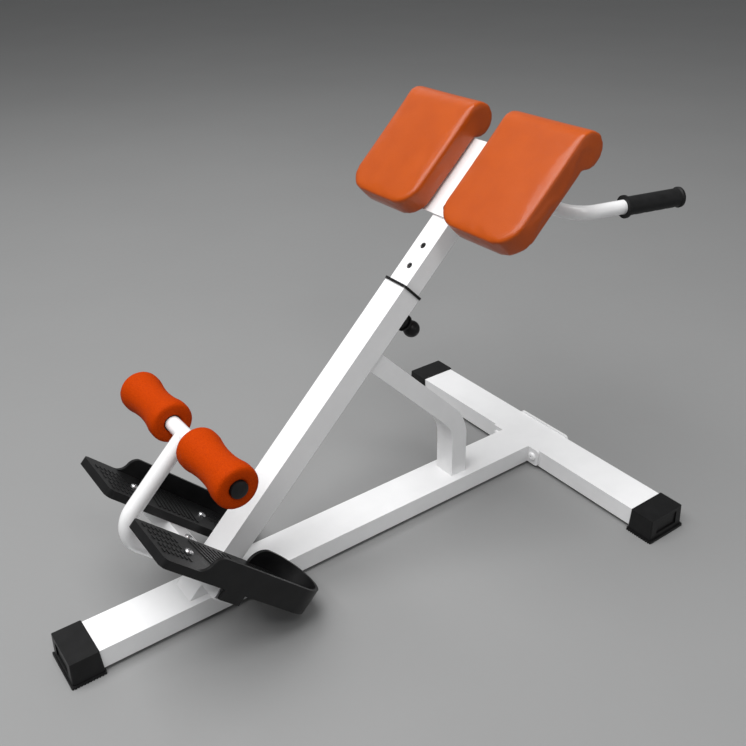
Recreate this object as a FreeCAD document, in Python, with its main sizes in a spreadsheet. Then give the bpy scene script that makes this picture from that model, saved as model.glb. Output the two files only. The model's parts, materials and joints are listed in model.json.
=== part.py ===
import FreeCAD
import Part
import Sketcher
import os
import re

V = FreeCAD.Vector
doc = FreeCAD.newDocument("roman_chair")
dims = doc.addObject("Spreadsheet::Sheet", "dims")

SIZES = [
    ("beam_front", -568.22), ("beam_back", 424.28), ("beam_width", 80), ("beam_height", 38),
    ("beam_lift", 8), ("beam_top", 46), ("wall", 2),
    ("plate_thick", 5), ("plate_span", 140), ("back_plate_rise", 4), ("back_plate_thick", 4.5),
    ("stab_front", 429.28), ("stab_width", 80), ("stab_half", 360),
    ("bolt_span", 54), ("bolt_level", 27), ("bolt_radius", 5), ("bolt_hole", 5.05),
    ("cap_grip", 47), ("cap_skin", 2.2), ("cap_spread", 3.5), ("cap_end", 4), ("cap_draft", 3), ("sole_height", 5),
    ("lean_angle", 44.33), ("post_foot", -358.82),
    ("post_width", 53), ("post_depth", 45.5), ("post_end", 647.5), ("post_wall", 2),
    ("collar_flange", 4.5), ("collar_rim", 2.5), ("collar_skirt", 30),
    ("slide_width", 47), ("slide_depth", 36), ("slide_gap", 0.1), ("slide_start", 470),
    ("slide_end", 940), ("slide_sink", 4.75),
    ("stop_first", 519), ("stop_pitch", 42), ("stop_radius", 5.75), ("pin_station", 603),
    ("pin_radius", 5), ("pin_hole", 5.05), ("pin_tip", 41.2), ("housing_radius", 13),
    ("housing_end", 69), ("knob_start", 71), ("knob_ball", 96.6), ("knob_radius", 15.5),
    ("brace_station", 515), ("brace_width", 47), ("brace_depth", 36), ("brace_x", 243.38),
    ("brace_bend", 90),
    ("arm_station", 55), ("arm_radius", 14), ("arm_bore", 11.5), ("arm_reach", 188.6),
    ("arm_bend", 50), ("axle_station", 247), ("axle_radius", 13), ("axle_bore", 10.5),
    ("axle_half", 180), ("cap_disc", 14), ("cap_dome", 4),
    ("sleeve_bore", 13.05), ("sleeve_radius", 14.2), ("sleeve_start", 42), ("sleeve_stop", 179.6),
    ("foam_start", 40), ("foam_stop", 179), ("foam_radius", 36), ("foam_waist", 30.5),
    ("bar_near", 40), ("bar_far", 80), ("bar_bottom", 69), ("bar_top", 94), ("bar_half", 150.7),
    ("tread_inner", 43), ("tread_outer", 164.5), ("tread_heel", -215), ("tread_toe", 76),
    ("tread_thick", 14), ("tread_wall", 6), ("tread_rise", 32), ("ramp_start", -150),
    ("ramp_stop", -113), ("cup_start", 41), ("tab_drop", 18),
    ("dash_pitch", 18), ("dash_width", 10), ("dash_depth", 2.5), ("dash_rise", 1.2), ("row_pitch", 9),
    ("rib_start", -106), ("rib_skew", 18), ("rib_depth", 5), ("rib_rise", 1.5), ("rib_pitch", 11),
    ("rib_margin", 12), ("heel_corner", 11), ("plug_thick", 4), ("screw_hole", 4.05),
    ("strap_thick", 4), ("strap_half", 28), ("strap_heel", -156), ("strap_toe", 46),
    ("screw_heel", -134), ("screw_toe", 25), ("screw_radius", 4), ("screw_head", 8),
    ("saddle_thick", 4), ("saddle_start", 788), ("saddle_end", 942), ("saddle_half", 150),
    ("saddle_bolt", 807), ("board_thick", 4), ("board_start", 784), ("board_end", 938),
    ("board_inner", 52), ("board_outer", 200),
    ("cushion_inner", 37), ("cushion_outer", 217), ("cushion_start", 764),
    ("cushion_thick", 44), ("roll_station", 970), ("roll_radius", 31),
    ("cushion_corner", 44),
    ("handle_x", 363.78), ("handle_z", 607), ("handle_half", 126), ("handle_bend", 48),
    ("handle_splay", 13), ("handle_radius", 12.5), ("handle_bore", 10.5), ("handle_leg", 173),
    ("grip_start", 58), ("grip_length", 119), ("grip_radius", 16.5), ("grip_flange", 20),
    ("finger_pitch", 22), ("finger_depth", 3.2), ("finger_round", 10),
    ("bracket_station", 911), ("bracket_width", 38), ("bracket_length", 34),
]


def fill_sheet():
    for row, (alias, value) in enumerate(SIZES, start=1):
        dims.set("A%d" % row, alias)
        dims.set("B%d" % row, str(value))
        dims.setAlias("B%d" % row, alias)
    doc.recompute()


fill_sheet()
SIZE = dict(SIZES)
NODES = []


def bound(expression):
    """Expression with every alias pointed at the sheet."""
    def swap(match):
        return "dims." + match.group(0) if match.group(0) in SIZE else match.group(0)
    return re.sub(r"[a-z_]+", swap, expression)


def number(expression):
    value = dims.evalExpression(bound(expression))
    return float(getattr(value, "Value", value))


def make_body(name):
    body = doc.addObject("PartDesign::Body", name)
    body.Label = name
    NODES.append(body)
    return body


def set_base(item, x, y, z):
    base = V(number(x), number(y), number(z))
    item.Placement = FreeCAD.Placement(base, item.Placement.Rotation)
    item.setExpression("Placement.Base.x", bound(x))
    item.setExpression("Placement.Base.y", bound(y))
    item.setExpression("Placement.Base.z", bound(z))


def lean(item):
    """Local X runs up the post, local Z stands off its top face."""
    turn = FreeCAD.Rotation(V(0, -1, 0), number("lean_angle"))
    item.Placement = FreeCAD.Placement(V(0, 0, 0), turn)
    set_base(item, "post_foot", "0", "beam_top")
    return item


def tread_frame(item, level):
    """Local X runs heel to toe, local Z runs up the post."""
    turn = FreeCAD.Rotation(V(0, 1, 0), number("90 - lean_angle"))
    item.Placement = FreeCAD.Placement(V(0, 0, 0), turn)
    set_base(
        item,
        "post_foot + %s * cos( lean_angle )" % level,
        "0",
        "beam_top + %s * sin( lean_angle )" % level,
    )
    return item


def plane_of(body, role):
    for feature in body.Origin.OriginFeatures:
        if feature.Role == role:
            return feature
    raise ValueError(role)


def new_sketch(body, name, role, offset="0"):
    sketch = body.newObject("Sketcher::SketchObject", name)
    sketch.AttachmentSupport = [(plane_of(body, role), "")]
    sketch.MapMode = "FlatFace"
    sketch.AttachmentOffset = FreeCAD.Placement(V(0, 0, number(offset)), FreeCAD.Rotation())
    sketch.setExpression("AttachmentOffset.Base.z", bound(offset))
    return sketch


def fix(sketch, kind, geometry, point, expression):
    index = sketch.addConstraint(
        Sketcher.Constraint(kind, -1, 1, geometry, point, number(expression))
    )
    sketch.setExpression("Constraints[%d]" % index, bound(expression))


def add_loop(sketch, steps, closed=True):
    """Chain of ('line', x, y) and ('arc', cx, cy, turn, x, y) steps from the first point."""
    start = steps[0][-2:]
    here = start
    first = None
    last = None
    chain = list(steps[1:])
    if closed and tuple(chain[-1][-2:]) != tuple(start):
        chain.append(("line",) + tuple(start))
    for step in chain:
        goal = step[-2:]
        a = V(number(here[0]), number(here[1]), 0)
        b = V(number(goal[0]), number(goal[1]), 0)
        if step[0] == "line":
            item = sketch.addGeometry(Part.LineSegment(a, b), False)
            head, tail = 1, 2
        else:
            centre = V(number(step[1]), number(step[2]), 0)
            radius = (a - centre).Length
            circle = Part.Circle(centre, V(0, 0, 1), radius)
            low, high = (a, b) if step[3] > 0 else (b, a)
            arc = Part.ArcOfCircle(circle, circle.parameter(low), circle.parameter(high))
            item = sketch.addGeometry(arc, False)
            head, tail = (1, 2) if step[3] > 0 else (2, 1)
            wide = abs(a.x - b.x) > abs(a.y - b.y)
            fix(sketch, "DistanceY" if wide else "DistanceX", item, 3, step[2] if wide else step[1])
        if last is None:
            first = (item, head)
            fix(sketch, "DistanceX", item, head, here[0])
            fix(sketch, "DistanceY", item, head, here[1])
        else:
            sketch.addConstraint(Sketcher.Constraint("Coincident", last[0], last[1], item, head))
        if closed and step is chain[-1]:
            sketch.addConstraint(Sketcher.Constraint("Coincident", item, tail, first[0], first[1]))
        else:
            fix(sketch, "DistanceX", item, tail, goal[0])
            fix(sketch, "DistanceY", item, tail, goal[1])
        last = (item, tail)
        here = goal
    return sketch


def add_box(sketch, x0, y0, x1, y1):
    return add_loop(sketch, [(x0, y0), ("line", x1, y0), ("line", x1, y1), ("line", x0, y1)])


def add_rounded(sketch, x0, y0, x1, y1, radius):
    left = "( %s + %s )" % (x0, radius)
    right = "( %s - %s )" % (x1, radius)
    low = "( %s + %s )" % (y0, radius)
    high = "( %s - %s )" % (y1, radius)
    return add_loop(sketch, [
        (left, y0),
        ("line", right, y0),
        ("arc", right, low, 1, x1, low),
        ("line", x1, high),
        ("arc", right, high, 1, right, y1),
        ("line", left, y1),
        ("arc", left, high, 1, x0, high),
        ("line", x0, low),
        ("arc", left, low, 1, left, y0),
    ])


def add_circle(sketch, x, y, radius):
    centre = V(number(x), number(y), 0)
    item = sketch.addGeometry(Part.Circle(centre, V(0, 0, 1), number(radius)), False)
    fix(sketch, "DistanceX", item, 3, x)
    fix(sketch, "DistanceY", item, 3, y)
    index = sketch.addConstraint(Sketcher.Constraint("Radius", item, number(radius)))
    sketch.setExpression("Constraints[%d]" % index, bound(radius))
    return sketch


def grow(body, kind, sketch, length, both=False, flip=False):
    """Pad or Pocket of a sketch; checked by the change in volume."""
    before = body.Shape.Volume if body.Shape and not body.Shape.isNull() else 0
    feature = body.newObject("PartDesign::" + kind, sketch.Name + "_" + kind.lower())
    feature.Profile = sketch
    feature.Length = number(length)
    feature.setExpression("Length", bound(length))
    feature.SideType = "Symmetric" if both else "One side"
    feature.Reversed = flip
    sketch.Visibility = False
    doc.recompute()
    change = body.Shape.Volume - before
    if (kind == "Pad") != (change > 0):
        raise RuntimeError("%s changed %s by %.1f" % (feature.Name, body.Name, change))
    return feature


def spin(body, sketch, axis, kind="Revolution"):
    feature = body.newObject("PartDesign::" + kind, sketch.Name + "_turn")
    feature.Profile = sketch
    feature.ReferenceAxis = (sketch, [axis])
    feature.Angle = 360
    sketch.Visibility = False
    doc.recompute()
    return feature


def pipe(body, kind, profile, spine):
    feature = body.newObject("PartDesign::" + kind, profile.Name + "_pipe")
    feature.Profile = profile
    feature.Spine = (spine, [])
    profile.Visibility = False
    spine.Visibility = False
    doc.recompute()
    return feature


def repeat(body, feature, sketch, axis, step, count):
    pattern = body.newObject("PartDesign::LinearPattern", feature.Name + "_row")
    pattern.Originals = [feature]
    pattern.Direction = (sketch, [axis])
    pattern.Mode = "Spacing"
    pattern.Offset = number(step)
    pattern.setExpression("Offset", bound(step))
    pattern.Occurrences = count
    body.Tip = pattern
    doc.recompute()
    return pattern


AXIS_X = V(1, 0, 0)
AXIS_Y = V(0, 1, 0)
AXIS_Z = V(0, 0, 1)
LEAN_X = "post_foot + ( %s ) * cos( lean_angle ) - ( %s ) * sin( lean_angle )"
LEAN_Z = "beam_top + ( %s ) * sin( lean_angle ) + ( %s ) * cos( lean_angle )"


def on_post(station, height, y="0"):
    """Base point at a distance up the post and a height off its top face."""
    return LEAN_X % (station, height), y, LEAN_Z % (station, height)


def place(item, spot, axis, angle):
    item.Placement = FreeCAD.Placement(V(0, 0, 0), FreeCAD.Rotation(axis, number(angle)))
    set_base(item, *spot)
    return item


def drill(body, role, spots, radius, label):
    """Holes straight through the body, square to one of its planes."""
    sketch = new_sketch(body, body.Name + "_" + label, role)
    for x, y in spots:
        add_circle(sketch, x, y, radius)
    return grow(body, "Pocket", sketch, "8 * stab_half", both=True)


def box_section(sketch, low, high, skin="wall"):
    add_box(sketch, low[0], low[1], high[0], high[1])
    inner_low = ["%s + %s" % (value, skin) for value in low]
    inner_high = ["%s - %s" % (value, skin) for value in high]
    add_box(sketch, inner_low[0], inner_low[1], inner_high[0], inner_high[1])
    return sketch


def box_tube(name, role, offset, length, low, high, both=False, flip=False):
    body = make_body(name)
    sketch = new_sketch(body, name + "_section", role, offset)
    box_section(sketch, low, high)
    grow(body, "Pad", sketch, length, both, flip)
    return body


def slab(name, role, offset, length, low, high, corner=None):
    body = make_body(name)
    sketch = new_sketch(body, name + "_outline", role, offset)
    if corner:
        add_rounded(sketch, low[0], low[1], high[0], high[1], corner)
    else:
        add_box(sketch, low[0], low[1], high[0], high[1])
    grow(body, "Pad", sketch, length)
    return body


def bolt(name, spot, axis, angle, shank, length, head, height):
    """Button head above local Z = 0, plain shank below it, hexagon socket in the head."""
    body = make_body(name)
    sketch = new_sketch(body, name + "_profile", "XZ_Plane")
    add_loop(sketch, [
        ("0", "-(%s)" % length),
        ("line", shank, "-(%s)" % length),
        ("line", shank, "0"),
        ("line", head, "0"),
        ("line", head, "%s * 0.35" % height),
        ("line", "%s * 0.82" % head, "%s * 0.8" % height),
        ("line", "%s * 0.5" % head, height),
        ("line", "0", height),
    ])
    spin(body, sketch, "V_Axis")
    socket = new_sketch(body, name + "_socket", "XY_Plane", height)
    add_hexagon(socket, "%s * 0.36" % head)
    grow(body, "Pocket", socket, "%s * 0.6" % height)
    return place(body, spot, axis, angle)


def add_hexagon(sketch, radius):
    half = "( %s ) * 0.5" % radius
    flat = "( %s ) * 0.866" % radius
    add_loop(sketch, [
        (radius, "0"),
        ("line", half, flat),
        ("line", "-( %s )" % half, flat),
        ("line", "-( %s )" % radius, "0"),
        ("line", "-( %s )" % half, "-( %s )" % flat),
        ("line", half, "-( %s )" % flat),
    ])


def nut(name, spot, axis, angle, bore, radius, height):
    """Hexagon nut hanging below local Z = 0."""
    body = make_body(name)
    sketch = new_sketch(body, name + "_outline", "XY_Plane")
    add_hexagon(sketch, radius)
    add_circle(sketch, "0", "0", bore)
    grow(body, "Pad", sketch, height, flip=True)
    return place(body, spot, axis, angle)


def make_base():
    box_tube("base_beam", "YZ_Plane", "beam_front", "beam_back - beam_front",
             ("-beam_width / 2", "beam_lift"), ("beam_width / 2", "beam_top"))
    spots = [("bolt_span", "bolt_level"), ("-bolt_span", "bolt_level")]
    flange = slab("beam_flange_plate", "YZ_Plane", "beam_back", "plate_thick",
                  ("-plate_span / 2", "beam_lift"), ("plate_span / 2", "beam_top"), "plate_thick * 1.6")
    drill(flange, "YZ_Plane", spots, "bolt_hole", "bolts")
    stabiliser = box_tube("rear_stabiliser", "XZ_Plane", "0", "2 * stab_half",
                          ("stab_front", "beam_lift"), ("stab_front + stab_width", "beam_top"), both=True)
    drill(stabiliser, "YZ_Plane", spots, "bolt_hole", "bolts")
    rear = "stab_front + stab_width"
    backing = slab("stabiliser_back_plate", "YZ_Plane", rear, "back_plate_thick",
                   ("-plate_span / 2", "beam_lift"), ("plate_span / 2", "beam_top + back_plate_rise"),
                   "plate_thick * 1.6")
    drill(backing, "YZ_Plane", spots, "bolt_hole", "bolts")
    for side, sign in (("left", ""), ("right", "-")):
        y = sign + "bolt_span"
        bolt("flange_bolt_" + side, ("beam_back", y, "bolt_level"), V(0, -1, 0), "90", "bolt_radius",
             "plate_thick + stab_width + back_plate_thick + 10", "bolt_radius * 1.9", "bolt_radius")
        nut("flange_nut_" + side, (rear + " + back_plate_thick", y, "bolt_level"), V(0, -1, 0), "90",
            "bolt_hole", "bolt_radius * 1.85", "bolt_radius * 1.6")


def foot_cap(name, spot, angle):
    """Moulded end cap; local X points out of the tube, Z up from the floor."""
    body = make_body(name)
    reach = "cap_end * 2"
    base = new_sketch(body, name + "_base", "XY_Plane")
    side = "( beam_width / 2 + cap_spread * 1.6 )"
    add_rounded(base, "-cap_grip", "-" + side, reach, side, "cap_skin * 2")
    shell = grow(body, "Pad", base, "beam_top + cap_skin")
    shell.TaperAngle = -number("cap_draft")
    shell.setExpression("TaperAngle", bound("-cap_draft"))
    doc.recompute()
    flange = new_sketch(body, name + "_flange", "XY_Plane")
    wide = "beam_width / 2 + cap_spread * 2.4"
    add_rounded(flange, "-cap_grip - 1", "-( %s )" % wide, reach + " + 3", wide, "cap_skin * 2")
    grow(body, "Pad", flange, "sole_height")
    cavity = new_sketch(body, name + "_cavity", "YZ_Plane")
    add_box(cavity, "-beam_width / 2", "beam_lift", "beam_width / 2", "beam_top")
    grow(body, "Pocket", cavity, "cap_grip + 5")
    panel = new_sketch(body, name + "_panel", "YZ_Plane", reach + " + 2")
    add_box(panel, "-beam_width / 2 + 12", "beam_lift + 6", "beam_width / 2 - 12", "beam_top - 5")
    grow(body, "Pocket", panel, "cap_end * 1.45")
    notch = new_sketch(body, name + "_notch", "XY_Plane")
    start = "-cap_grip + 3"
    add_box(notch, start, wide + " - 1.5", start + " + 2.5", wide + " + 1")
    add_box(notch, start, "-( %s ) - 1" % wide, start + " + 2.5", "-( %s ) + 1.5" % wide)
    cut = grow(body, "Pocket", notch, "sole_height", flip=True)
    repeat(body, cut, notch, "H_Axis", "5", 11)
    return place(body, spot, AXIS_Z, angle)


def make_caps():
    foot_cap("front_foot_cap", ("beam_front", "0", "0"), "180")
    middle = "stab_front + stab_width / 2"
    foot_cap("stabiliser_cap_left", (middle, "stab_half", "0"), "90")
    foot_cap("stabiliser_cap_right", (middle, "-stab_half", "0"), "270")


def make_post():
    post = make_body("post_outer_tube")
    side = new_sketch(post, "post_side", "XZ_Plane")
    add_loop(side, [
        ("0", "0"),
        ("line", "post_depth * cos( lean_angle ) / sin( lean_angle )", "-post_depth"),
        ("line", "post_end", "-post_depth"),
        ("line", "post_end", "0"),
    ])
    grow(post, "Pad", side, "post_width", both=True)
    bore = new_sketch(post, "post_bore", "YZ_Plane", "post_end")
    add_box(bore, "-post_width / 2 + post_wall", "-post_depth + post_wall",
            "post_width / 2 - post_wall", "-post_wall")
    grow(post, "Pocket", bore, "post_end + post_depth")
    port = new_sketch(post, "post_port", "XY_Plane", "-post_depth")
    add_circle(port, "pin_station", "0", "pin_hole")
    grow(post, "Pocket", port, "post_wall + 2", flip=True)
    lean(post)

    collar = make_body("post_collar")
    low = "-slide_sink - slide_depth - slide_gap"
    high = "-slide_sink + slide_gap"
    half = "slide_width / 2 + slide_gap"
    rim = new_sketch(collar, "collar_rim", "YZ_Plane", "post_end")
    add_rounded(rim, "-post_width / 2 - collar_rim", "-post_depth - collar_rim",
                "post_width / 2 + collar_rim", "collar_rim", "collar_rim * 1.6")
    add_box(rim, "-( %s )" % half, low, half, high)
    grow(collar, "Pad", rim, "collar_flange")
    skirt = new_sketch(collar, "collar_skirt", "YZ_Plane", "post_end")
    add_box(skirt, "-post_width / 2 + post_wall", "-post_depth + post_wall",
            "post_width / 2 - post_wall", "-post_wall")
    add_box(skirt, "-( %s )" % half, low, half, high)
    grow(collar, "Pad", skirt, "collar_skirt", flip=True)
    lean(collar)


def make_brace():
    foot_x = LEAN_X % ("brace_station", "-post_depth")
    foot_z = LEAN_Z % ("brace_station", "-post_depth")
    fall = "( ( brace_x - ( %s ) ) / sin( lean_angle ) )" % foot_x
    corner = "( ( %s ) - %s * cos( lean_angle ) )" % (foot_z, fall)
    run = "( brace_bend * tan( lean_angle / 2 ) )"
    body = make_body("post_brace")
    spine = new_sketch(body, "brace_spine", "XZ_Plane")
    add_loop(spine, [
        ("brace_x", "beam_top"),
        ("line", "brace_x", "%s - %s" % (corner, run)),
        ("arc", "brace_x - brace_bend", "%s - %s" % (corner, run), 1,
         "brace_x - %s * sin( lean_angle )" % run, "%s + %s * cos( lean_angle )" % (corner, run)),
        ("line", foot_x, foot_z),
    ], closed=False)
    section = new_sketch(body, "brace_section", "XY_Plane", "beam_top")
    box_section(section, ("brace_x - brace_depth / 2", "-brace_width / 2"),
                ("brace_x + brace_depth / 2", "brace_width / 2"))
    pipe(body, "AdditivePipe", section, spine)


def make_foot_rest():
    arm = make_body("roller_arm")
    spine = new_sketch(arm, "arm_spine", "XZ_Plane")
    add_loop(spine, [
        ("arm_station", "0"),
        ("line", "arm_station", "arm_reach - arm_bend"),
        ("arc", "arm_station + arm_bend", "arm_reach - arm_bend", -1, "arm_station + arm_bend", "arm_reach"),
        ("line", "axle_station", "arm_reach"),
    ], closed=False)
    ring = new_sketch(arm, "arm_ring", "XY_Plane")
    add_circle(ring, "arm_station", "0", "arm_radius")
    add_circle(ring, "arm_station", "0", "arm_bore")
    pipe(arm, "AdditivePipe", ring, spine)
    drill(arm, "XZ_Plane", [("axle_station", "arm_reach")], "axle_radius", "cope")
    middle = "( bar_near + bar_far ) / 2"
    drill(arm, "YZ_Plane", [("0", middle)], "screw_hole", "bolt")
    lean(arm)

    axle = make_body("roller_axle")
    tube = new_sketch(axle, "axle_ring", "XZ_Plane")
    add_circle(tube, "0", "0", "axle_radius")
    add_circle(tube, "0", "0", "axle_bore")
    grow(axle, "Pad", tube, "2 * axle_half", both=True)
    set_base(axle, *on_post("axle_station", "arm_reach"))

    crossbar = box_tube("footplate_crossbar", "XZ_Plane", "0", "2 * bar_half",
                        ("bar_bottom", "bar_near"), ("bar_top", "bar_far"), both=True)
    drill(crossbar, "YZ_Plane", [("0", middle)], "screw_hole", "bolt")
    lean(crossbar)
    bolt("crossbar_bolt", on_post("bar_top", middle), AXIS_Y, "90 - lean_angle", "screw_radius",
         "bar_top - arm_station + arm_radius + 8", "screw_head", "screw_head * 0.6")
    nut("crossbar_nut", on_post("arm_station - arm_radius", middle), AXIS_Y, "90 - lean_angle",
        "screw_hole", "screw_head * 0.95", "screw_head * 0.75")


def axle_piece(name, turn, steps):
    """Turned piece on the roller axis; local Y points outward."""
    body = make_body(name)
    sketch = new_sketch(body, name + "_profile", "XY_Plane")
    add_loop(sketch, steps)
    spin(body, sketch, "V_Axis")
    return place(body, on_post("axle_station", "arm_reach"), AXIS_Z, turn)


def make_rollers():
    soft = "8"
    middle = "( foam_start + foam_stop ) / 2"
    shoulder = "22"
    span = "( ( foam_stop - foam_start ) / 2 - %s )" % shoulder
    dip = "( foam_radius - foam_waist )"
    sweep = "( foam_waist + ( %s * %s + %s * %s ) / ( 2 * %s ) )" % (span, span, dip, dip, dip)
    for side, turn in (("left", "0"), ("right", "180")):
        axle_piece("foam_roller_" + side, turn, [
            ("sleeve_radius", "foam_start"),
            ("line", "foam_radius - " + soft, "foam_start"),
            ("arc", "foam_radius - " + soft, "foam_start + " + soft, 1, "foam_radius", "foam_start + " + soft),
            ("line", "foam_radius", "foam_start + " + shoulder),
            ("arc", sweep, middle, -1, "foam_radius", "foam_stop - " + shoulder),
            ("line", "foam_radius", "foam_stop - " + soft),
            ("arc", "foam_radius - " + soft, "foam_stop - " + soft, 1, "foam_radius - " + soft, "foam_stop"),
            ("line", "sleeve_radius", "foam_stop"),
        ])
        axle_piece("roller_sleeve_" + side, turn, [
            ("sleeve_bore", "sleeve_start"),
            ("line", "sleeve_radius", "sleeve_start"),
            ("line", "sleeve_radius", "sleeve_stop"),
            ("line", "sleeve_bore", "sleeve_stop"),
        ])
        axle_piece("axle_cap_" + side, turn, [
            ("0", "axle_half - 15"),
            ("line", "axle_bore - 0.1", "axle_half - 15"),
            ("line", "axle_bore - 0.1", "axle_half"),
            ("line", "cap_disc", "axle_half"),
            ("line", "cap_disc", "axle_half + 2"),
            ("line", "cap_disc * 0.75", "axle_half + cap_dome * 0.8"),
            ("line", "cap_disc * 0.35", "axle_half + cap_dome"),
            ("line", "0", "axle_half + cap_dome"),
        ])


DASHES = 5
DASH_ROWS = 7
RIBS = 9


def tread_rows(body, name, sign, starts, count, label):
    """Rows of short raised dashes across the tread, repeated along it."""
    dashes = new_sketch(body, name + label, "XY_Plane", "tread_thick")
    for index in range(DASHES):
        low = "%s( tread_inner + rib_margin + %d * dash_pitch )" % (sign, index)
        high = "%s( tread_inner + rib_margin + %d * dash_pitch + dash_width )" % (sign, index)
        front = "%s + %d * dash_depth" % (starts, index % 2)
        add_box(dashes, front, low, front + " + dash_depth", high)
    pad = grow(body, "Pad", dashes, "dash_rise")
    repeat(body, pad, dashes, "H_Axis", "row_pitch", count)


def foot_plate(side, sign):
    """Moulded pedal: flat tread, side wall and wrapped toe cup."""
    name = "foot_plate_" + side
    flip = 1 if sign == "" else -1
    inner = sign + "tread_inner"
    outer = sign + "tread_outer"
    middle = "%s( tread_inner + tread_outer ) / 2" % sign
    lip = "%s( tread_outer - tread_wall )" % sign
    rim = "%s( tread_inner + tread_wall )" % sign
    body = make_body(name)
    base = new_sketch(body, name + "_base", "XY_Plane")
    near_corner = "%s( tread_inner + heel_corner )" % sign
    far_corner = "%s( tread_outer - heel_corner )" % sign
    add_loop(base, [
        ("tread_toe", inner),
        ("arc", "tread_toe", middle, flip, "tread_toe", outer),
        ("line", "tread_heel + heel_corner", outer),
        ("arc", "tread_heel + heel_corner", far_corner, flip, "tread_heel", far_corner),
        ("line", "tread_heel", near_corner),
        ("arc", "tread_heel + heel_corner", near_corner, flip, "tread_heel + heel_corner", inner),
    ])
    grow(body, "Pad", base, "tread_thick")
    wall = new_sketch(body, name + "_wall", "XY_Plane", "tread_thick")
    add_loop(wall, [
        ("tread_toe", inner),
        ("arc", "tread_toe", middle, flip, "tread_toe", outer),
        ("line", "ramp_start", outer),
        ("line", "ramp_start", lip),
        ("line", "tread_toe", lip),
        ("arc", "tread_toe", middle, -flip, "tread_toe", rim),
    ])
    grow(body, "Pad", wall, "tread_rise")
    top = "( tread_thick + tread_rise )"
    run = "( ( ramp_stop - ramp_start ) / 2 )"
    rise = "( tread_rise / 2 )"
    bend = "( ( %s * %s + %s * %s ) / ( 2 * %s ) )" % (run, run, rise, rise, rise)
    ramp = new_sketch(body, name + "_ramp", "XZ_Plane")
    add_loop(ramp, [
        ("ramp_start", "tread_thick"),
        ("arc", "ramp_start", "tread_thick + " + bend, 1, "ramp_start + " + run, "tread_thick + " + rise),
        ("arc", "ramp_stop", top + " - " + bend, -1, "ramp_stop", top),
        ("line", "ramp_stop", top + " + 5"),
        ("line", "ramp_start - 5", top + " + 5"),
        ("line", "ramp_start - 5", "tread_thick"),
    ])
    grow(body, "Pocket", ramp, "4 * tread_outer", both=True)
    offset = "tread_inner" if sign else "-( tread_inner + tread_wall )"
    cheek = new_sketch(body, name + "_cheek", "XZ_Plane", offset)
    add_loop(cheek, [
        ("cup_start", "tread_thick"),
        ("line", "tread_toe", "tread_thick"),
        ("line", "tread_toe", top),
        ("line", "cup_start + tread_rise", top),
        ("arc", "cup_start + tread_rise", "tread_thick", 1, "cup_start", "tread_thick"),
    ])
    grow(body, "Pad", cheek, "tread_wall")
    tab = new_sketch(body, name + "_tab", "XY_Plane")
    add_box(tab, "-bar_far - 2", lip, "-bar_near + 2", outer)
    grow(body, "Pad", tab, "tab_drop", flip=True)
    channel = new_sketch(body, name + "_channel", "XY_Plane")
    add_box(channel, "strap_heel", middle + " - strap_half", "strap_toe", middle + " + strap_half")
    grow(body, "Pocket", channel, "strap_thick", flip=True)
    drill(body, "XY_Plane", [("screw_heel", middle), ("screw_toe", middle)], "screw_hole", "screws")
    rib_low = "%s( tread_inner + rib_margin )" % sign
    rib_high = "%s( tread_outer - rib_margin )" % sign
    ridge = new_sketch(body, name + "_ridge", "XY_Plane", "tread_thick")
    add_loop(ridge, [
        ("rib_start", rib_low),
        ("line", "rib_start + rib_depth", rib_low),
        ("line", "rib_start + rib_depth + rib_skew", rib_high),
        ("line", "rib_start + rib_skew", rib_high),
    ])
    pad = grow(body, "Pad", ridge, "rib_rise")
    repeat(body, pad, ridge, "H_Axis", "rib_pitch", RIBS)
    tread_rows(body, name, sign, "tread_heel + rib_margin", DASH_ROWS, "_heel_dashes")
    tread_rows(body, name, sign, "screw_toe + 2 * screw_head", DASH_ROWS, "_toe_dashes")
    return tread_frame(body, "bar_top")


def make_foot_plates():
    for side, sign in (("left", ""), ("right", "-")):
        middle = "%s( tread_inner + tread_outer ) / 2" % sign
        foot_plate(side, sign)
        strap = slab("plate_strap_" + side, "XY_Plane", "0", "strap_thick",
                     ("strap_heel + 0.5", middle + " - strap_half + 0.5"),
                     ("strap_toe - 0.5", middle + " + strap_half - 0.5"))
        drill(strap, "XY_Plane", [("screw_heel", middle), ("screw_toe", middle)], "screw_hole", "screws")
        tread_frame(strap, "bar_top")
        for end in ("heel", "toe"):
            height = "-screw_" + end
            bolt("plate_screw_%s_%s" % (end, side), on_post("bar_top + tread_thick", height, middle), AXIS_Y,
                 "90 - lean_angle", "screw_radius", "tread_thick + 8", "screw_head", "screw_head * 0.55")
            nut("plate_nut_%s_%s" % (end, side), on_post("bar_top", height, middle), AXIS_Y,
                "90 - lean_angle", "screw_hole", "screw_head * 0.95", "screw_head * 0.8")


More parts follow.
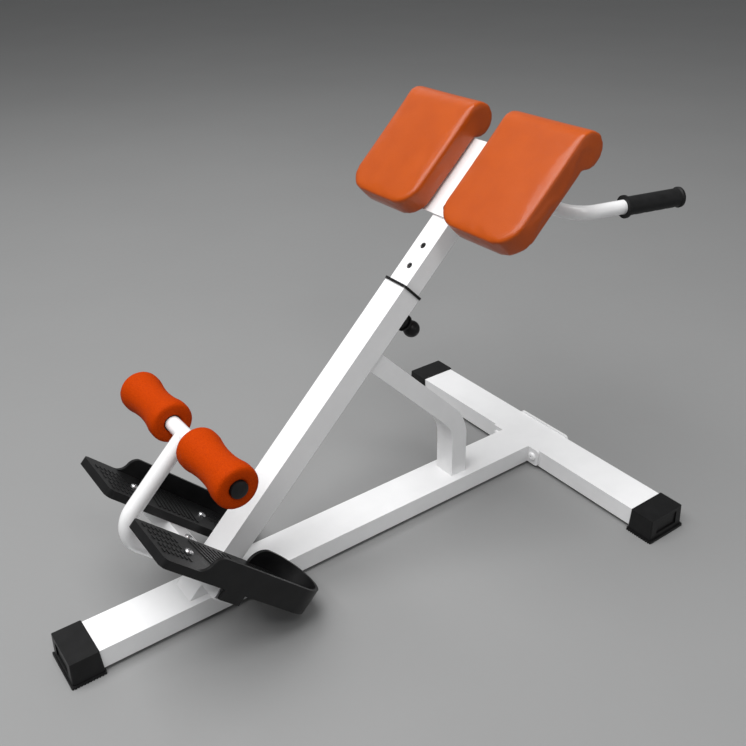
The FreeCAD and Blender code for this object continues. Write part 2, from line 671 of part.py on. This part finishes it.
def make_pin():
    housing = make_body("pin_housing")
    ring = new_sketch(housing, "housing_ring", "XY_Plane", "post_depth")
    add_circle(ring, "0", "0", "housing_radius")
    add_circle(ring, "0", "0", "pin_hole")
    grow(housing, "Pad", ring, "housing_end - post_depth")
    spot = on_post("pin_station", "0")
    place(housing, spot, AXIS_Y, "180 - lean_angle")
    pin = make_body("pull_pin")
    rod = new_sketch(pin, "pin_rod", "XY_Plane", "pin_tip")
    add_circle(rod, "0", "0", "pin_radius")
    grow(pin, "Pad", rod, "knob_ball - pin_tip - 10")
    place(pin, spot, AXIS_Y, "180 - lean_angle")
    knob = make_body("pin_knob")
    neck = "8.5"
    throat = "( knob_ball - sqrt( knob_radius * knob_radius - %s * %s ) )" % (neck, neck)
    profile = new_sketch(knob, "knob_profile", "XZ_Plane")
    add_loop(profile, [
        ("pin_radius", "knob_start"),
        ("line", "housing_radius + 3", "knob_start"),
        ("line", "housing_radius + 3", "knob_start + 3"),
        ("line", neck, "knob_start + 8"),
        ("line", neck, throat),
        ("arc", "0", "knob_ball", 1, "0", "knob_ball + knob_radius"),
        ("line", "0", "knob_ball - 10"),
        ("line", "pin_radius", "knob_ball - 10"),
    ])
    spin(knob, profile, "V_Axis")
    place(knob, spot, AXIS_Y, "180 - lean_angle")


def make_slide():
    low = "-slide_sink - slide_depth"
    slide = box_tube("inner_post", "YZ_Plane", "slide_start", "slide_end - slide_start",
                     ("-slide_width / 2", low), ("slide_width / 2", "-slide_sink"))
    stops = new_sketch(slide, "slide_stops", "XY_Plane", "0")
    add_circle(stops, "stop_first", "0", "stop_radius")
    cut = grow(slide, "Pocket", stops, "2 * post_depth")
    repeat(slide, cut, stops, "H_Axis", "stop_pitch", 6)
    drill(slide, "XY_Plane", [("saddle_bolt", "0")], "screw_hole", "saddle")
    lean(slide)
    plug = slab("inner_post_plug", "YZ_Plane", "slide_end", "plug_thick", ("-slide_width / 2", low),
                ("slide_width / 2", "-slide_sink"))
    insert = new_sketch(plug, "plug_insert", "YZ_Plane", "slide_end")
    add_box(insert, "-slide_width / 2 + wall + 0.1", low + " + wall + 0.1",
            "slide_width / 2 - wall - 0.1", "-slide_sink - wall - 0.1")
    grow(plug, "Pad", insert, "15", flip=True)
    lean(plug)


def make_saddle():
    saddle = slab("pad_plate", "XY_Plane", "-slide_sink", "saddle_thick", ("saddle_start", "-saddle_half"),
                  ("saddle_end", "saddle_half"), "saddle_thick * 3")
    rows = ("saddle_start + 32", "saddle_end - 31")
    spots = [(row, sign + "100") for row in rows for sign in ("", "-")]
    drill(saddle, "XY_Plane", [("saddle_bolt", "0")] + spots, "screw_hole", "screws")
    lean(saddle)
    bolt("saddle_bolt", on_post("saddle_bolt", "-slide_sink + saddle_thick"), V(0, -1, 0), "lean_angle",
         "screw_radius", "saddle_thick + slide_depth + 9", "screw_head", "3")
    nut("saddle_nut", on_post("saddle_bolt", "-slide_sink - slide_depth"), V(0, -1, 0), "lean_angle",
        "screw_hole", "screw_head * 0.95", "screw_head * 0.8")
    for side, sign in (("left", ""), ("right", "-")):
        low, high = ("board_inner", "board_outer") if sign == "" else ("-board_outer", "-board_inner")
        board = slab("pad_board_" + side, "XY_Plane", "-slide_sink + saddle_thick", "board_thick",
                     ("board_start", low), ("board_end", high), "board_thick * 6")
        drill(board, "XY_Plane", [(row, sign + "100") for row in rows], "screw_hole", "screws")
        lean(board)
        for index, row in enumerate(rows, start=1):
            bolt("board_screw_%s_%d" % (side, index), on_post(row, "-slide_sink", sign + "100"), AXIS_Y,
                 "180 - lean_angle", "screw_radius", "saddle_thick + board_thick - 0.2", "screw_head", "4")


def make_cushions():
    bottom = "( board_thick + saddle_thick - slide_sink + 0.05 )"
    for side, sign in (("left", ""), ("right", "-")):
        flip = 1 if sign == "" else -1
        name = "hip_pad_" + side
        inner = sign + "cushion_inner"
        outer = sign + "cushion_outer"
        near = "%s( cushion_inner + cushion_corner )" % sign
        far = "%s( cushion_outer - cushion_corner )" % sign
        body = make_body(name)
        outline = new_sketch(body, name + "_outline", "XY_Plane", bottom)
        add_loop(outline, [
            ("roll_station", inner),
            ("line", "roll_station", outer),
            ("line", "cushion_start + cushion_corner", outer),
            ("arc", "cushion_start + cushion_corner", far, flip, "cushion_start", far),
            ("line", "cushion_start", near),
            ("arc", "cushion_start + cushion_corner", near, flip, "cushion_start + cushion_corner", inner),
        ])
        grow(body, "Pad", outline, "cushion_thick")
        offset = "cushion_inner" if sign else "-cushion_outer"
        roll = new_sketch(body, name + "_roll", "XZ_Plane", offset)
        add_circle(roll, "roll_station", bottom + " + cushion_thick - roll_radius", "roll_radius")
        grow(body, "Pad", roll, "cushion_outer - cushion_inner")
        lean(body)


def make_handles():
    bar = make_body("handlebar")
    ring = new_sketch(bar, "handle_ring", "XZ_Plane")
    add_circle(ring, "0", "0", "handle_radius")
    for sign, flip in (("-", 1), ("", -1)):
        end_x = "handle_bend * ( 1 - sin( handle_splay ) )"
        end_y = "( handle_half + handle_bend * cos( handle_splay ) )"
        spine = new_sketch(bar, "handle_spine_" + ("right" if sign else "left"), "XY_Plane")
        add_loop(spine, [
            ("0", "0"),
            ("line", "0", sign + "handle_half"),
            ("arc", "handle_bend", sign + "handle_half", flip, end_x, sign + end_y),
            ("line", end_x + " + handle_leg * cos( handle_splay )",
             "%s( %s + handle_leg * sin( handle_splay ) )" % (sign, end_y)),
        ], closed=False)
        pipe(bar, "AdditivePipe", ring, spine)
    set_base(bar, "handle_x", "0", "handle_z")

    run = "( handle_x - post_foot )"
    rise = "( handle_z - beam_top )"
    depth = "( %s * sin( lean_angle ) - %s * cos( lean_angle ) )" % (run, rise)
    station = "( %s * cos( lean_angle ) + %s * sin( lean_angle ) )" % (run, rise)
    bracket = box_tube("handle_bracket", "XY_Plane", "-slide_sink - slide_depth",
                       "%s - slide_sink - slide_depth" % depth,
                       ("bracket_station - bracket_length / 2", "-bracket_width / 2"),
                       ("bracket_station + bracket_length / 2", "bracket_width / 2"), flip=True)
    drill(bracket, "XZ_Plane", [(station, "-" + depth)], "handle_radius", "cope")
    lean(bracket)
    for side, sign in (("left", ""), ("right", "-")):
        make_grip(side, sign)


FINGERS = 5


def make_grip(side, sign):
    grip = make_body("grip_" + side)
    bore = "handle_radius + 0.05"
    profile = new_sketch(grip, "grip_profile_" + side, "XY_Plane")
    add_loop(profile, [
        ("0", bore),
        ("line", "0", "grip_flange"),
        ("line", "4", "grip_flange"),
        ("line", "5", "grip_radius"),
        ("line", "grip_length - 6", "grip_radius"),
        ("line", "grip_length - 4", "grip_radius + 2"),
        ("line", "grip_length", "grip_radius + 1.5"),
        ("line", "grip_length + 3", "grip_radius - 4"),
        ("line", "grip_length + 3", "0"),
        ("line", "grip_length - 1", "0"),
        ("line", "grip_length - 1", bore),
    ])
    spin(grip, profile, "H_Axis")
    finger = new_sketch(grip, "grip_finger_" + side, "XZ_Plane")
    add_circle(finger, "finger_pitch * 0.8", "-grip_radius - finger_round + finger_depth", "finger_round")
    cut = grow(grip, "Pocket", finger, "4 * grip_radius", both=True)
    repeat(grip, cut, finger, "H_Axis", "finger_pitch", FINGERS)
    x = "handle_x + handle_bend * ( 1 - sin( handle_splay ) ) + grip_start * cos( handle_splay )"
    y = "%s( handle_half + handle_bend * cos( handle_splay ) + grip_start * sin( handle_splay ) )" % sign
    place(grip, (x, y, "handle_z"), V(0, 0, -1) if sign else AXIS_Z, "handle_splay")


def check_document():
    doc.recompute()
    for item in doc.Objects:
        if "Invalid" in item.State or "Error" in item.State:
            raise RuntimeError("%s: %s" % (item.Name, item.State))
    for body in NODES:
        if body.Shape.isNull() or not body.Shape.isValid():
            raise RuntimeError("bad shape in " + body.Label)


def write_parts():
    os.makedirs("parts", exist_ok=True)
    for body in NODES:
        body.Shape.exportStep("parts/%s.step" % body.Label)


make_base()
make_caps()
make_post()
make_brace()
make_foot_rest()
make_rollers()
make_foot_plates()
make_pin()
make_slide()
make_saddle()
make_cushions()
make_handles()
check_document()
write_parts()
print("wrote %d parts" % len(NODES))
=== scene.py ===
import json
import math

import bpy
from mathutils import Matrix, Vector


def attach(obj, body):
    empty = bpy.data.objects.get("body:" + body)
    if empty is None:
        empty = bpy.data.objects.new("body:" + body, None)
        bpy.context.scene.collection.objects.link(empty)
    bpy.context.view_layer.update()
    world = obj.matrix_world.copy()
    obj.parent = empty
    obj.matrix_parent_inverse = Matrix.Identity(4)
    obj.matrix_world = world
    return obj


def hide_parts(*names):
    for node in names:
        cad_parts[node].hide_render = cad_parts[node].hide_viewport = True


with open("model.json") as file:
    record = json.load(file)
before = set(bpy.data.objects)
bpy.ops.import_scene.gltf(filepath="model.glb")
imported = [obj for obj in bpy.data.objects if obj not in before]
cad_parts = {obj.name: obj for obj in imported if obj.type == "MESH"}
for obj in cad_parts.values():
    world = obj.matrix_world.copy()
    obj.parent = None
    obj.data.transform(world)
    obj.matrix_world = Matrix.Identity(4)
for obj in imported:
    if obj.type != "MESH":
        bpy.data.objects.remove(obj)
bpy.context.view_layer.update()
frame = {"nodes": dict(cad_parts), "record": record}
record = frame["record"]
SLOT_OF = {part["node"]: part["material_slot"] for part in record["subparts"]}

# Camera, metres and degrees, in the part's frame.
CAMERA_PLACE = Vector((-0.7517, -1.1386, 1.1293))
CAMERA_AZIMUTH = -35.25
CAMERA_ELEVATION = 29.61
CAMERA_ROLL = -1.41
CAMERA_LENS = 43.215
SENSOR = 36.0

# Soft parts: mesh size, smoothing rounds and how far the cover may swell, metres.
PAD_VOXEL = 0.004
PAD_SOFTEN = 3
PAD_SETTLE = 2
PAD_PRESSURE = 4.0
PAD_SWELL = 0.001
ROLLER_VOXEL = 0.003
ROLLER_SOFTEN = 4
CLOTH_QUALITY = 5
CLOTH_MASS = 0.4
CLOTH_STRETCH = 25
CLOTH_BEND = 2.0
CLOTH_STEPS = 20

# Studio, metres and watts: each light's name, place, size and power.
FLOOR_SIZE = 80.0
LIGHT_AIM = (0.0, 0.0, 0.2)
LIGHTS = (
    ("key", (-1.3, 0.1, 4.4), (4.0, 4.0), 285),
    ("front", (-0.6, -2.2, 2.9), (0.6, 0.6), 14),
    ("low", (1.4, -2.6, 0.9), (2.0, 1.2), 6),
    ("back", (0.8, 2.8, 2.2), (2.4, 1.2), 6),
)
SKY_COLOUR = (0.98, 0.99, 1.0, 1)
SKY_STRENGTH = 0.23


# ---------------------------------------------------------------- materials

def new_material(name):
    material = bpy.data.materials.new(name)
    material.use_nodes = True
    tree = material.node_tree
    shader = tree.nodes["Principled BSDF"]
    return material, tree, shader


def texture_place(tree):
    return tree.nodes.new("ShaderNodeTexCoord").outputs["Object"]


def noise(tree, place, scale, detail=4.0, rough=0.55):
    node = tree.nodes.new("ShaderNodeTexNoise")
    node.inputs["Scale"].default_value = scale
    node.inputs["Detail"].default_value = detail
    node.inputs["Roughness"].default_value = rough
    tree.links.new(place, node.inputs["Vector"])
    return node.outputs["Fac"]


def cells(tree, place, scale):
    node = tree.nodes.new("ShaderNodeTexVoronoi")
    node.inputs["Scale"].default_value = scale
    tree.links.new(place, node.inputs["Vector"])
    return node.outputs["Distance"]


def ramp(tree, value, low, high, start=0.3, stop=0.7):
    node = tree.nodes.new("ShaderNodeValToRGB")
    node.color_ramp.elements[0].position = start
    node.color_ramp.elements[0].color = (*low, 1)
    node.color_ramp.elements[1].position = stop
    node.color_ramp.elements[1].color = (*high, 1)
    tree.links.new(value, node.inputs["Fac"])
    return node.outputs["Color"]


def remap(tree, value, low, high):
    node = tree.nodes.new("ShaderNodeMapRange")
    node.inputs["To Min"].default_value = low
    node.inputs["To Max"].default_value = high
    tree.links.new(value, node.inputs["Value"])
    return node.outputs["Result"]


def bump(tree, shader, value, strength, distance, before=None):
    node = tree.nodes.new("ShaderNodeBump")
    node.inputs["Strength"].default_value = strength
    node.inputs["Distance"].default_value = distance
    tree.links.new(value, node.inputs["Height"])
    if before is not None:
        tree.links.new(before, node.inputs["Normal"])
    tree.links.new(node.outputs["Normal"], shader.inputs["Normal"])
    return node.outputs["Normal"]


def grained(name, low, high, rough, grain, coarse, depth, metal=0.0, coat=0.0, gloss=0.5):
    """Two-tone surface with fine and coarse relief; rough is (least, most)."""
    material, tree, shader = new_material(name)
    place = texture_place(tree)
    tone = noise(tree, place, coarse)
    fine = noise(tree, place, grain, 2.0)
    tree.links.new(ramp(tree, tone, low, high), shader.inputs["Base Color"])
    tree.links.new(remap(tree, fine, *rough), shader.inputs["Roughness"])
    first = bump(tree, shader, fine, 0.35, depth)
    bump(tree, shader, tone, 0.15, depth * 2, first)
    shader.inputs["Metallic"].default_value = metal
    shader.inputs["Coat Weight"].default_value = coat
    shader.inputs["Coat Roughness"].default_value = 0.12
    shader.inputs["Specular IOR Level"].default_value = gloss
    return material


def white_paint():
    return grained("white_paint", (0.83, 0.83, 0.835), (0.88, 0.88, 0.885), (0.26, 0.36),
                   grain=900, coarse=14, depth=0.0002, coat=0.4)


def black_plastic():
    return grained("black_plastic", (0.004, 0.004, 0.0042), (0.008, 0.008, 0.0084), (0.32, 0.48),
                   grain=1400, coarse=40, depth=0.0003, gloss=0.25)


def zinc_hardware():
    return grained("zinc_hardware", (0.62, 0.62, 0.63), (0.74, 0.74, 0.75), (0.16, 0.3),
                   grain=700, coarse=60, depth=0.0001, metal=1.0)


def grip_rubber():
    return grained("grip_rubber", (0.004, 0.004, 0.0042), (0.008, 0.008, 0.0084), (0.45, 0.62),
                   grain=1600, coarse=60, depth=0.0004, gloss=0.25)


def board_ply():
    return grained("board_ply", (0.02, 0.017, 0.015), (0.05, 0.04, 0.034), (0.6, 0.8),
                   grain=500, coarse=30, depth=0.0005)


def floor_paint():
    return grained("floor_paint", (0.245, 0.246, 0.246), (0.255, 0.256, 0.256), (0.6, 0.7),
                   grain=60, coarse=1.5, depth=0.0004)


def pad_cover():
    """Coated cover with a fine pebble grain and a faint change of tone."""
    material, tree, shader = new_material("pad_cover")
    place = texture_place(tree)
    tone = noise(tree, place, 22)
    pebble = cells(tree, place, 950)
    fleck = noise(tree, place, 1800, 1.0)
    colour = ramp(tree, tone, (0.39, 0.059, 0.002), (0.44, 0.071, 0.003))
    tree.links.new(colour, shader.inputs["Base Color"])
    tree.links.new(remap(tree, fleck, 0.24, 0.34), shader.inputs["Roughness"])
    first = bump(tree, shader, pebble, 0.45, 0.0004)
    bump(tree, shader, tone, 0.06, 0.001, first)
    shader.inputs["Specular IOR Level"].default_value = 0.25
    shader.inputs["Coat Weight"].default_value = 0.15
    shader.inputs["Coat Roughness"].default_value = 0.16
    return material


def roller_foam():
    """Closed-cell foam: tiny pits, matte, with painted shade darkening the bottom of each pit."""
    material, tree, shader = new_material("roller_foam")
    place = texture_place(tree)
    tone = noise(tree, place, 60)
    pits_and_painted_shade = cells(tree, place, 620)
    # Painted shade: the colour darkens towards the bottom of each pit, following the same cells that cut
    # the pits.
    colour = ramp(tree, pits_and_painted_shade, (0.33, 0.027, 0.0002), (0.45, 0.043, 0.0004), 0.05, 0.6)
    tree.links.new(colour, shader.inputs["Base Color"])
    tree.links.new(remap(tree, tone, 0.58, 0.78), shader.inputs["Roughness"])
    first = bump(tree, shader, pits_and_painted_shade, 0.6, 0.0007)
    bump(tree, shader, tone, 0.2, 0.001, first)
    shader.inputs["Specular IOR Level"].default_value = 0.04
    return material


def make_materials():
    makers = (white_paint, black_plastic, zinc_hardware, grip_rubber, board_ply, pad_cover, roller_foam)
    return {maker.__name__: maker() for maker in makers}


MATERIALS = make_materials()


# ---------------------------------------------------------------- hard parts

# Edge rounding by material slot, metres; thin plates take less, and round stock has no edge to round.
EDGE = {"white_paint": 0.0024, "black_plastic": 0.0012, "zinc_hardware": 0.0005, "grip_rubber": 0.0008,
        "board_ply": 0.0005}
EDGE_OF_THIN_PLATE = 0.0008
EDGE_SEGMENTS = 3
EDGE_ANGLE = 50
THIN_PLATES = ("beam_flange_plate", "stabiliser_back_plate", "pad_plate", "plate_strap_left",
               "plate_strap_right")
ROUND_STOCK = ("roller_arm", "roller_axle", "handlebar", "roller_sleeve_left", "roller_sleeve_right")


def paint(obj, material):
    obj.data.materials.clear()
    obj.data.materials.append(material)


def dress_hard_parts():
    for node, obj in frame["nodes"].items():
        slot = SLOT_OF[node]
        paint(obj, MATERIALS[slot])
        if slot not in EDGE or node in ROUND_STOCK:
            continue
        bevel = obj.modifiers.new("edge", "BEVEL")
        bevel.width = EDGE_OF_THIN_PLATE if node in THIN_PLATES else EDGE[slot]
        bevel.segments = EDGE_SEGMENTS
        bevel.limit_method = "ANGLE"
        bevel.angle_limit = math.radians(EDGE_ANGLE)
        bevel.harden_normals = False
        obj.modifiers.new("shade", "WEIGHTED_NORMAL").keep_sharp = True


dress_hard_parts()


# ---------------------------------------------------------------- soft parts

def apply_modifiers(obj):
    depsgraph = bpy.context.evaluated_depsgraph_get()
    depsgraph.update()
    mesh = bpy.data.meshes.new_from_object(obj.evaluated_get(depsgraph))
    obj.modifiers.clear()
    obj.data = mesh


def slide_tilt():
    """Angle about Y that lays the height slide, and so the pads, along the X axis."""
    joints = {joint["name"]: joint for joint in record["behaviour"]["joints"]}
    axis = Vector(joints["height_slide"]["axis"])
    return math.atan2(axis.z, axis.x)


def soft_copy(node, name, voxel, rounds, tilt=0.0):
    """Closed even mesh of a CAD cushion with its hard edges rounded off, laid flat while it is remeshed."""
    source = frame["nodes"][node]
    lay_flat = Matrix.Rotation(tilt, 4, "Y")
    obj = bpy.data.objects.new(name, source.data.copy())
    obj.data.transform(lay_flat)
    bpy.context.scene.collection.objects.link(obj)
    remesh = obj.modifiers.new("even", "REMESH")
    remesh.mode = "VOXEL"
    remesh.voxel_size = voxel
    smooth = obj.modifiers.new("round", "SMOOTH")
    smooth.factor = 0.5
    smooth.iterations = rounds
    apply_modifiers(obj)
    obj.data.transform(lay_flat.inverted())
    return obj


def swell(obj, pressure, cap):
    """Cloth under pressure, with every point held within cap of where it began."""
    start = [vertex.co.copy() for vertex in obj.data.vertices]
    cloth = obj.modifiers.new("cloth", "CLOTH")
    cloth.settings.use_pressure = True
    cloth.settings.uniform_pressure_force = pressure
    cloth.settings.quality = CLOTH_QUALITY
    cloth.settings.mass = CLOTH_MASS
    cloth.settings.tension_stiffness = CLOTH_STRETCH
    cloth.settings.compression_stiffness = CLOTH_STRETCH
    cloth.settings.bending_stiffness = CLOTH_BEND
    cloth.settings.effector_weights.gravity = 0
    scene = bpy.context.scene
    for step in range(1, CLOTH_STEPS + 1):
        scene.frame_set(step)
    apply_modifiers(obj)
    for vertex, home in zip(obj.data.vertices, start):
        move = vertex.co - home
        if move.length > cap:
            vertex.co = home + move * (cap / move.length)
    scene.frame_set(1)


def finish_soft(obj, slot, body, node):
    for polygon in obj.data.polygons:
        polygon.use_smooth = True
    paint(obj, MATERIALS[slot])
    detail = obj.modifiers.new("fine", "SUBSURF")
    detail.levels = 1
    detail.render_levels = 1
    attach(obj, body)
    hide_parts(node)


def make_hip_pads():
    for side in ("left", "right"):
        node = "hip_pad_" + side
        pad = soft_copy(node, "cushion_" + side, PAD_VOXEL, PAD_SOFTEN, slide_tilt())
        swell(pad, PAD_PRESSURE, PAD_SWELL)
        settle = pad.modifiers.new("settle", "SMOOTH")
        settle.iterations = PAD_SETTLE
        apply_modifiers(pad)
        finish_soft(pad, "pad_cover", "pad_carriage", node)


def make_rollers():
    for side in ("left", "right"):
        node = "foam_roller_" + side
        roller = soft_copy(node, "roller_foam_" + side, ROLLER_VOXEL, ROLLER_SOFTEN)
        finish_soft(roller, "roller_foam", "roller_" + side, node)


make_hip_pads()
make_rollers()


# ---------------------------------------------------------------- studio

def make_floor():
    mesh = bpy.data.meshes.new("floor")
    half = FLOOR_SIZE / 2
    corners = [(-half, -half, 0), (half, -half, 0), (half, half, 0), (-half, half, 0)]
    mesh.from_pydata(corners, [], [(0, 1, 2, 3)])
    floor = bpy.data.objects.new("floor", mesh)
    bpy.context.scene.collection.objects.link(floor)
    paint(floor, floor_paint())


def area_light(name, place, size, power):
    data = bpy.data.lights.new(name, "AREA")
    data.shape = "RECTANGLE"
    data.size, data.size_y = size
    data.energy = power
    light = bpy.data.objects.new(name, data)
    light.location = place
    look = Vector(LIGHT_AIM) - Vector(place)
    light.rotation_euler = look.to_track_quat("-Z", "Y").to_euler()
    bpy.context.scene.collection.objects.link(light)


def make_lights():
    for light in LIGHTS:
        area_light(*light)
    world = bpy.data.worlds.new("studio")
    world.use_nodes = True
    background = world.node_tree.nodes["Background"]
    background.inputs["Color"].default_value = SKY_COLOUR
    background.inputs["Strength"].default_value = SKY_STRENGTH
    bpy.context.scene.world = world
    # The Standard view keeps the strong orange, which the default one washes out.
    bpy.context.scene.view_settings.view_transform = "Standard"


def make_camera():
    azimuth = math.radians(CAMERA_AZIMUTH)
    elevation = math.radians(CAMERA_ELEVATION)
    roll = math.radians(CAMERA_ROLL)
    back = Vector((math.sin(azimuth) * math.cos(elevation), -math.cos(azimuth) * math.cos(elevation),
                   math.sin(elevation)))
    side = Vector((math.cos(azimuth), math.sin(azimuth), 0))
    up = back.cross(side)
    right = side * math.cos(roll) + up * math.sin(roll)
    top = up * math.cos(roll) - side * math.sin(roll)
    data = bpy.data.cameras.new("camera")
    data.lens = CAMERA_LENS
    data.sensor_width = SENSOR
    camera = bpy.data.objects.new("camera", data)
    turn = Matrix((right, top, back)).transposed().to_4x4()
    camera.matrix_world = Matrix.Translation(CAMERA_PLACE) @ turn
    bpy.context.scene.collection.objects.link(camera)
    bpy.context.scene.camera = camera


make_floor()
make_lights()
make_camera()
